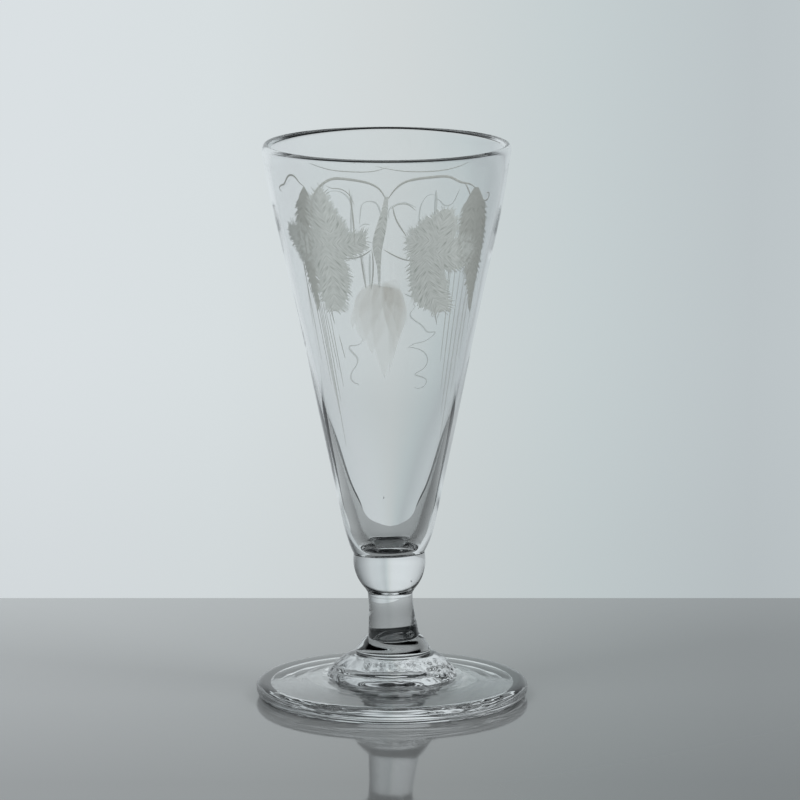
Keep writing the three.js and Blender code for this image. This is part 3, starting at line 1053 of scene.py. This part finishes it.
class AleGlassTendrils(bpy.types.Operator):
    """The engraved stalk, its arches and curls, and the tendrils on the far side"""

    bl_idname = "ale_glass.tendrils"
    bl_label = "Stalk and tendrils"

    def execute(self, context):
        flank = bowl_flank(context)
        relief = context.scene.ale_glass_sizes.cut_relief
        cut_piece("cut_stalk", leaf_cuts(STALK, relief, flank), context)
        front = [line_cut(path, width, relief * NEAR_RELIEF, flank) for path, width in FRONT_LINES]
        cut_piece("cut_arches", front, context, wheel_cut_lines)
        back = [line_cut(path, width, relief * FAR_RELIEF, flank) for path, width in BACK_LINES]
        cut_piece("cut_tendrils", back, context, wheel_cut_lines_far)
        return {"FINISHED"}


class AleGlassStage(bpy.types.Operator):
    """The table, the soft light, the pale wall behind and the camera"""

    bl_idname = "ale_glass.stage"
    bl_label = "Stage"

    def execute(self, context):
        make_table(context)
        make_world()
        make_wall(context)
        make_lamps()
        make_camera()
        return {"FINISHED"}


def stage_piece(name, points, faces, finish, context):
    """A part of the stage, which isn't part of the glass."""
    mesh = bpy.data.meshes.new(name)
    mesh.from_pydata(points, [], faces)
    mesh.materials.append(shared(finish, context))
    piece = bpy.data.objects.new(name, mesh)
    bpy.context.scene.collection.objects.link(piece)
    return piece


# The near and far edges of the table, and how far it reaches to each side.
TABLE_NEAR = -0.5
TABLE_FAR = 0.1117
TABLE_SIDE = 0.4


def make_table(context):
    """A flat sheet of table top, whose far edge is close behind the glass."""
    corners = [(-TABLE_SIDE, TABLE_NEAR, 0), (TABLE_SIDE, TABLE_NEAR, 0),
               (TABLE_SIDE, TABLE_FAR, 0), (-TABLE_SIDE, TABLE_FAR, 0)]
    stage_piece("table", corners, [(0, 1, 2, 3)], table_laminate, context)


def table_laminate(tree, sizes):
    """Plain grey laminate, worn smooth: it mirrors what stands on it, more so at a flat angle.

    Painted light makes its colour brighter to the back and to the left, where the light comes from.
    """
    shader = tree.nodes["Principled BSDF"]
    where = add_node(tree, "ShaderNodeTexCoord")
    parts = add_node(tree, "ShaderNodeSeparateXYZ", {"Vector": where.outputs["Object"]})
    # painted light: the table's colour grows brighter to the back and to the left
    back = add_node(tree, "ShaderNodeMapRange", {
        "Value": parts.outputs["Y"], "From Min": -0.09, "From Max": 0.11, "To Min": 0.56, "To Max": 1.25})
    side = add_node(tree, "ShaderNodeMapRange", {
        "Value": parts.outputs["X"], "From Min": -0.1, "From Max": 0.1, "To Min": 1.2, "To Max": 0.68})
    light = add_node(tree, "ShaderNodeMath", {
        0: back.outputs["Result"], 1: side.outputs["Result"]}, operation="MULTIPLY")
    tint = add_node(tree, "ShaderNodeMix", {
        "Factor": light.outputs[0], 6: (0, 0, 0, 1), 7: (*sizes.table_colour, 1)},
        data_type="RGBA", clamp_factor=False)
    tree.links.new(tint.outputs[2], shader.inputs["Base Color"])
    shader.inputs["Roughness"].default_value = 0.05
    shader.inputs["IOR"].default_value = 1.5


# What glass shows where the wall isn't, and the even light on matt faces.
NIGHT = "#161718"
EVEN_LIGHT = 0.6


def make_world():
    """Even light for matt faces, and near darkness for what glass shows where the wall isn't."""
    world = bpy.data.worlds.new("studio")
    bpy.context.scene.world = world
    world.use_nodes = True
    tree = world.node_tree
    tree.nodes.clear()
    path = add_node(tree, "ShaderNodeLightPath")
    seen = add_node(tree, "ShaderNodeMath", {
        0: path.outputs["Is Camera Ray"], 1: path.outputs["Is Glossy Ray"]}, operation="MAXIMUM")
    clear = add_node(tree, "ShaderNodeMath", {
        0: seen.outputs[0], 1: path.outputs["Is Transmission Ray"]}, operation="MAXIMUM")
    light = add_node(tree, "ShaderNodeMix", {
        "Factor": clear.outputs[0], 6: (EVEN_LIGHT, EVEN_LIGHT, EVEN_LIGHT, 1), 7: (*linear(NIGHT), 1)},
        data_type="RGBA")
    glow = add_node(tree, "ShaderNodeBackground", {"Color": light.outputs[2]})
    add_node(tree, "ShaderNodeOutputWorld", {"Surface": glow.outputs["Background"]})


# The ring of paper about the glass, whose glow is painted light. It fades to night up to its top, and a
# painted shadow makes it a little darker at the foot.
WALL_RADIUS = 2.0
WALL_TOP = 1.71
WALL_TOP_FADE = 1.2
WALL_SIDES = 180
WALL_LOW = -0.74
WALL_FOOT_SHADOW = (-0.44, -0.24)
WALL_FOOT_SHADOW_SHARE = 0.92

# The wall's glow round the glass, painted light and shade, from the degrees to the right of straight behind.
WALL_COLOURS = [
    (-180, "#9a9fa1"), (-110, "#9a9fa1"), (-80, "#aaaeb0"), (-50, "#c8ced1"), (-30, "#d6dcdf"),
    (-16, "#dae1e4"), (-5.5, "#dae0e3"), (-2.5, "#d7dee0"), (0, "#d1d7d8"), (3.1, "#c4ced0"),
    (5.5, "#bcc4c7"), (12, "#c8d0d3"), (23, "#c6cdd0"), (35, "#acb2b5"), (45, "#949a9d"),
    (59, "#666a6c"), (75, "#34373a"), (110, "#3a3d3f"), (150, "#7c8183"), (180, "#9a9fa1")]


def make_wall(context):
    """A wide ring of upright faces about the glass and the camera, glowing with painted light like lit
    paper.
    """
    angle = np.linspace(-math.pi, math.pi, WALL_SIDES, endpoint=False)
    ring = WALL_RADIUS * np.c_[np.sin(angle), np.cos(angle)]
    points = np.concatenate([np.c_[ring, np.full(WALL_SIDES, height)] for height in (WALL_LOW, WALL_TOP)])
    step = np.arange(WALL_SIDES)
    after = (step + 1) % WALL_SIDES
    faces = np.stack([step, after, after + WALL_SIDES, step + WALL_SIDES], -1)
    wall = stage_piece("wall", points, faces.tolist(), paper_with_painted_light, context)
    wall.visible_diffuse = False
    wall.visible_shadow = False


def paper_with_painted_light(tree, _):
    """Paper whose glow is painted window light: bright to the left behind, painted shade to the right and in
    front.
    """
    tree.nodes.clear()
    where = add_node(tree, "ShaderNodeTexCoord")
    parts = add_node(tree, "ShaderNodeSeparateXYZ", {"Vector": where.outputs["Object"]})
    turn = add_node(tree, "ShaderNodeMath", {
        0: parts.outputs["X"], 1: parts.outputs["Y"]}, operation="ARCTAN2")
    across = add_node(tree, "ShaderNodeMapRange", {
        "Value": turn.outputs[0], "From Min": -math.pi, "From Max": math.pi})
    # painted light and shade: the wall's glow changes round the glass
    paper = add_node(tree, "ShaderNodeValToRGB", {"Fac": across.outputs["Result"]})
    stops = paper.color_ramp.elements
    while len(stops) < len(WALL_COLOURS):
        stops.new(0.5)
    for stop, (degrees, _) in zip(stops, WALL_COLOURS):
        stop.position = degrees / 360 + 0.5
    for stop, (_, written) in zip(stops, WALL_COLOURS):
        stop.color = (*linear(written), 1)
    top = add_node(tree, "ShaderNodeMapRange", {
        "Value": parts.outputs["Z"], "From Min": WALL_TOP_FADE, "From Max": WALL_TOP,
        "To Min": 1, "To Max": 0}, interpolation_type="SMOOTHSTEP")
    # painted shadow: the wall's glow darkens a little towards its foot, below the table
    foot = add_node(tree, "ShaderNodeMapRange", {
        "Value": parts.outputs["Z"], "From Min": WALL_FOOT_SHADOW[0], "From Max": WALL_FOOT_SHADOW[1],
        "To Min": WALL_FOOT_SHADOW_SHARE, "To Max": 1}, interpolation_type="SMOOTHSTEP")
    fade = add_node(tree, "ShaderNodeMath", {
        0: top.outputs["Result"], 1: foot.outputs["Result"]}, operation="MULTIPLY")
    shade = add_node(tree, "ShaderNodeMix", {
        "Factor": fade.outputs[0], 6: (*linear(NIGHT), 1), 7: paper.outputs["Color"]}, data_type="RGBA")
    glow = add_node(tree, "ShaderNodeEmission", {"Color": shade.outputs[2]})
    add_node(tree, "ShaderNodeOutputMaterial", {"Surface": glow.outputs["Emission"]})


# The lamps: name, place, size and power in watts. Both look at the lower half of the bowl.
LAMPS = (("key", (-0.7, -0.5, 1.1), 0.5, 5.6), ("fill", (0.8, -0.35, 0.9), 0.4, 4))
LAMPS_LOOK_AT = (0, 0, 0.06)


def make_lamps():
    """Two soft lamps for matt faces, kept out of what the glass mirrors and shows."""
    for name, place, size, power in LAMPS:
        lamp = bpy.data.lights.new(name, "AREA")
        lamp.size = size
        lamp.energy = power
        holder = bpy.data.objects.new(name, lamp)
        holder.location = place
        direction = Vector(LAMPS_LOOK_AT) - Vector(place)
        holder.rotation_euler = direction.to_track_quat("-Z", "Y").to_euler()
        holder.visible_glossy = False
        holder.visible_transmission = False
        bpy.context.scene.collection.objects.link(holder)


# The camera as fitted to the outline of the glass. It looks along +Y, and down by this angle in radians.
CAMERA_PLACE = (1.913 * MM, -1.503, 0.34373)
CAMERA_DOWN = 0.17879
CAMERA_LENS = 287.8

# Light caught in the thin wall runs round inside it, and with fewer bounces its edges turn black.
LIGHT_GUIDE_BOUNCES = 256


def make_camera():
    """The camera where the photographer's was, and enough bounces for light to leave the thick glass."""
    camera = bpy.data.cameras.new("camera")
    camera.lens = CAMERA_LENS
    camera.sensor_width = 36
    camera.clip_end = 20
    holder = bpy.data.objects.new("camera", camera)
    holder.location = CAMERA_PLACE
    holder.rotation_euler = (math.pi / 2 - CAMERA_DOWN, 0, 0)
    scene = bpy.context.scene
    scene.collection.objects.link(holder)
    scene.camera = holder
    scene.view_settings.view_transform = "Standard"
    for limit in ("max_bounces", "transmission_bounces", "glossy_bounces", "transparent_max_bounces"):
        setattr(scene.cycles, limit, LIGHT_GUIDE_BOUNCES)


BUILD_ORDER = ("stage", "foot", "collar", "stem", "knop", "bowl", "scar", "leaves", "barley", "tendrils")


class AleGlassPanel(bpy.types.Panel):
    """The pieces of the ale glass, one button each, and the sizes that they read"""

    bl_idname = "ALEGLASS_PT_pieces"
    bl_label = "Ale glass"
    bl_space_type = "VIEW_3D"
    bl_region_type = "UI"
    bl_category = "Ale glass"

    def draw(self, context):
        for name in BUILD_ORDER:
            self.layout.operator(f"ale_glass.{name}")
        for name in AleGlassSizes.__annotations__:
            self.layout.prop(context.scene.ale_glass_sizes, name)


CLASSES = (
    AleGlassSizes,
    AleGlassFoot,
    AleGlassCollar,
    AleGlassStem,
    AleGlassKnop,
    AleGlassBowl,
    AleGlassScar,
    AleGlassLeaves,
    AleGlassBarley,
    AleGlassTendrils,
    AleGlassStage,
    AleGlassPanel,
)


def register():
    for item in CLASSES:
        bpy.utils.register_class(item)
    bpy.types.Scene.ale_glass_sizes = PointerProperty(type=AleGlassSizes)


def unregister():
    del bpy.types.Scene.ale_glass_sizes
    for item in reversed(CLASSES):
        bpy.utils.unregister_class(item)


def main():
    register()
    for name in BUILD_ORDER:
        getattr(bpy.ops.ale_glass, name)()


if __name__ == "__main__":
    main()
